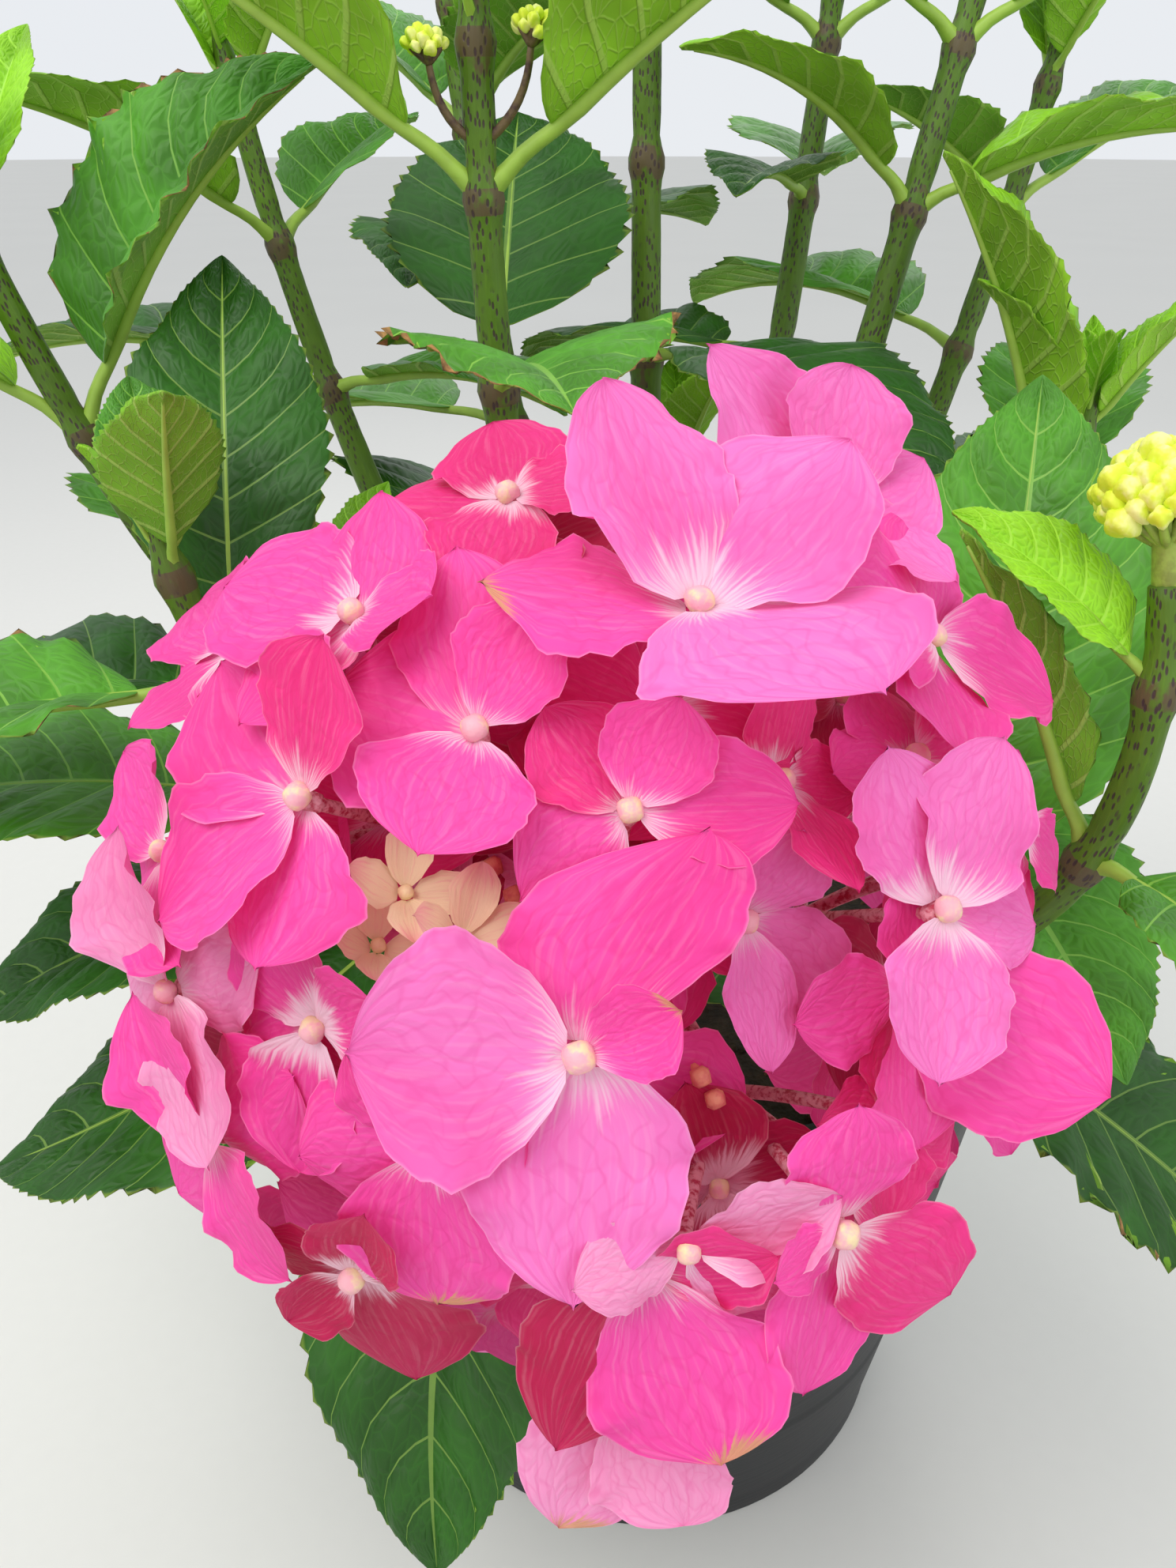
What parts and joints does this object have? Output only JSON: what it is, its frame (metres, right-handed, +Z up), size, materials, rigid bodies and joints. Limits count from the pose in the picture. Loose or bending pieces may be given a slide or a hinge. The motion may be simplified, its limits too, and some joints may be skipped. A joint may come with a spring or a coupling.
{
  "type": "potted hydrangea shrub",
  "caption": "Potted garden hydrangea: a plain black nursery pot of compost, upright leafy green shoots, and a large pink mophead that leans out over the front beside an unopened bud.",
  "frame": {"origin": "middle of the pot's flat underside", "axes": "+Z up along the pot's axis; -Y towards the front, where the pink mophead leans out over the rim; +X to the right seen from the front, on the side of the unopened bud"},
  "size_m": [0.4189, 0.4417, 0.5155],
  "materials": {
    "pot": "slightly glossy black moulded plastic",
    "compost": "crumbly moist peat compost",
    "bark": "dry papery brown bark",
    "green_stem": "smooth green with dark dashes",
    "foliage": "soft, slightly glossy green leaf",
    "bloom": "soft matt pink petals",
    "flower_bud": "matt yellow-green buds"
  },
  "bodies": {
    "root": {"bloom": "bloom", "compost": "compost", "crown": "bark", "flower_bud": "flower_bud", "foliage_back": "foliage", "foliage_back_left": "foliage", "foliage_back_right": "foliage", "foliage_centre": "foliage", "foliage_front": "foliage", "foliage_left": "foliage", "foliage_left_back": "foliage", "foliage_left_front": "foliage", "foliage_low_back": "foliage", "foliage_low_left": "foliage", "foliage_low_right": "foliage", "foliage_middle": "foliage", "foliage_right": "foliage", "foliage_right_back": "foliage", "foliage_right_side": "foliage", "pot": "pot", "stem_back": "green_stem", "stem_back_left": "green_stem", "stem_back_right": "green_stem", "stem_centre": "green_stem", "stem_front": "green_stem", "stem_left": "green_stem", "stem_left_back": "green_stem", "stem_left_front": "green_stem", "stem_low_back": "green_stem", "stem_low_left": "green_stem", "stem_low_right": "green_stem", "stem_middle": "green_stem", "stem_right": "green_stem", "stem_right_back": "green_stem", "stem_right_side": "green_stem"}
  },
  "joints": []
}
